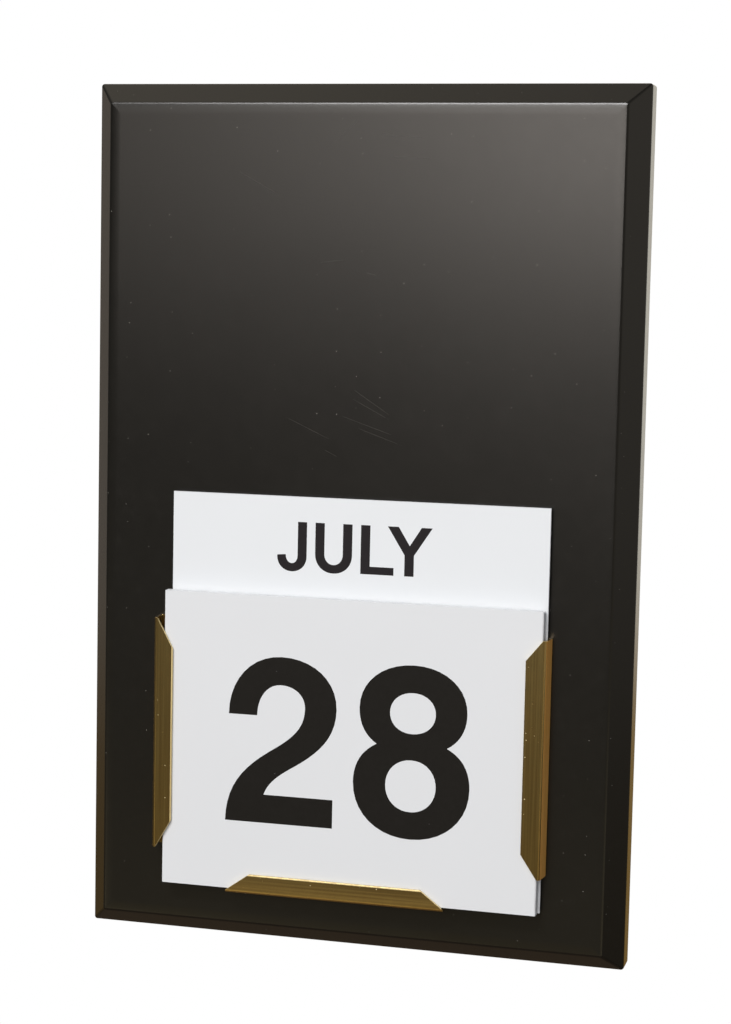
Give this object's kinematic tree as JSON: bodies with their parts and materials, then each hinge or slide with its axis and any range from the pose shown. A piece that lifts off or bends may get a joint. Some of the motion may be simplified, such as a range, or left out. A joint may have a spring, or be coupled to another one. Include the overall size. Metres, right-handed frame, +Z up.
{
  "type": "perpetual wall calendar",
  "caption": "Bevelled black plaque for a wall, with brass channel rails that hold a pack of day cards in front of a taller pack of month cards; loose cards lift out and swap.",
  "frame": {"origin": "middle of the plaque's flat back, on the wall's surface", "axes": "+Z up, +Y into the wall, so the calendar faces -Y; +X to the right for someone who looks at it"},
  "size_m": [0.197, 0.026, 0.305],
  "materials": {
    "black_plaque": "satin black lacquer",
    "rail_brass": "satin, aged",
    "screw_brass": "satin",
    "hanger_steel": "zinc plated",
    "white_card": "smooth matte, printed in black"
  },
  "bodies": {
    "plaque": {"backboard": "black_plaque", "hanger_plate": "hanger_steel", "hanger_screws": "hanger_steel", "left_rail": "rail_brass", "left_rail_screws": "screw_brass", "right_rail": "rail_brass", "right_rail_screws": "screw_brass", "bottom_rail": "rail_brass", "bottom_rail_screws": "screw_brass"},
    "day_card_01": {"day_card_01": "white_card"},
    "day_card_02": {"day_card_02": "white_card"},
    "day_card_03": {"day_card_03": "white_card"},
    "day_card_04": {"day_card_04": "white_card"},
    "day_card_05": {"day_card_05": "white_card"},
    "day_card_06": {"day_card_06": "white_card"},
    "day_card_07": {"day_card_07": "white_card"},
    "day_card_08": {"day_card_08": "white_card"},
    "day_card_09": {"day_card_09": "white_card"},
    "day_card_10": {"day_card_10": "white_card"},
    "day_card_11": {"day_card_11": "white_card"},
    "day_card_12": {"day_card_12": "white_card"},
    "day_card_13": {"day_card_13": "white_card"},
    "day_card_14": {"day_card_14": "white_card"},
    "day_card_15": {"day_card_15": "white_card"},
    "day_card_16": {"day_card_16": "white_card"},
    "month_card_1": {"month_card_1": "white_card"},
    "month_card_2": {"month_card_2": "white_card"},
    "month_card_3": {"month_card_3": "white_card"},
    "month_card_4": {"month_card_4": "white_card"},
    "month_card_5": {"month_card_5": "white_card"},
    "month_card_6": {"month_card_6": "white_card"}
  },
  "joints": [
    {"name": "day_card_01_lift", "type": "slide", "parent": "plaque", "child": "day_card_01", "axis": [0, 0, 1], "range_m": [0, 0.1]},
    {"name": "day_card_02_lift", "type": "slide", "parent": "plaque", "child": "day_card_02", "axis": [0, 0, 1], "range_m": [0, 0.1]},
    {"name": "day_card_03_lift", "type": "slide", "parent": "plaque", "child": "day_card_03", "axis": [0, 0, 1], "range_m": [0, 0.1]},
    {"name": "day_card_04_lift", "type": "slide", "parent": "plaque", "child": "day_card_04", "axis": [0, 0, 1], "range_m": [0, 0.1]},
    {"name": "day_card_05_lift", "type": "slide", "parent": "plaque", "child": "day_card_05", "axis": [0, 0, 1], "range_m": [0, 0.1]},
    {"name": "day_card_06_lift", "type": "slide", "parent": "plaque", "child": "day_card_06", "axis": [0, 0, 1], "range_m": [0, 0.1]},
    {"name": "day_card_07_lift", "type": "slide", "parent": "plaque", "child": "day_card_07", "axis": [0, 0, 1], "range_m": [0, 0.1]},
    {"name": "day_card_08_lift", "type": "slide", "parent": "plaque", "child": "day_card_08", "axis": [0, 0, 1], "range_m": [0, 0.1]},
    {"name": "day_card_09_lift", "type": "slide", "parent": "plaque", "child": "day_card_09", "axis": [0, 0, 1], "range_m": [0, 0.1]},
    {"name": "day_card_10_lift", "type": "slide", "parent": "plaque", "child": "day_card_10", "axis": [0, 0, 1], "range_m": [0, 0.1]},
    {"name": "day_card_11_lift", "type": "slide", "parent": "plaque", "child": "day_card_11", "axis": [0, 0, 1], "range_m": [0, 0.1]},
    {"name": "day_card_12_lift", "type": "slide", "parent": "plaque", "child": "day_card_12", "axis": [0, 0, 1], "range_m": [0, 0.1]},
    {"name": "day_card_13_lift", "type": "slide", "parent": "plaque", "child": "day_card_13", "axis": [0, 0, 1], "range_m": [0, 0.1]},
    {"name": "day_card_14_lift", "type": "slide", "parent": "plaque", "child": "day_card_14", "axis": [0, 0, 1], "range_m": [0, 0.1]},
    {"name": "day_card_15_lift", "type": "slide", "parent": "plaque", "child": "day_card_15", "axis": [0, 0, 1], "range_m": [0, 0.1]},
    {"name": "day_card_16_lift", "type": "slide", "parent": "plaque", "child": "day_card_16", "axis": [0, 0, 1], "range_m": [0, 0.1]},
    {"name": "month_card_1_lift", "type": "slide", "parent": "plaque", "child": "month_card_1", "axis": [0, 0, 1], "range_m": [0, 0.1]},
    {"name": "month_card_2_lift", "type": "slide", "parent": "plaque", "child": "month_card_2", "axis": [0, 0, 1], "range_m": [0, 0.1]},
    {"name": "month_card_3_lift", "type": "slide", "parent": "plaque", "child": "month_card_3", "axis": [0, 0, 1], "range_m": [0, 0.1]},
    {"name": "month_card_4_lift", "type": "slide", "parent": "plaque", "child": "month_card_4", "axis": [0, 0, 1], "range_m": [0, 0.1]},
    {"name": "month_card_5_lift", "type": "slide", "parent": "plaque", "child": "month_card_5", "axis": [0, 0, 1], "range_m": [0, 0.1]},
    {"name": "month_card_6_lift", "type": "slide", "parent": "plaque", "child": "month_card_6", "axis": [0, 0, 1], "range_m": [0, 0.1]}
  ]
}
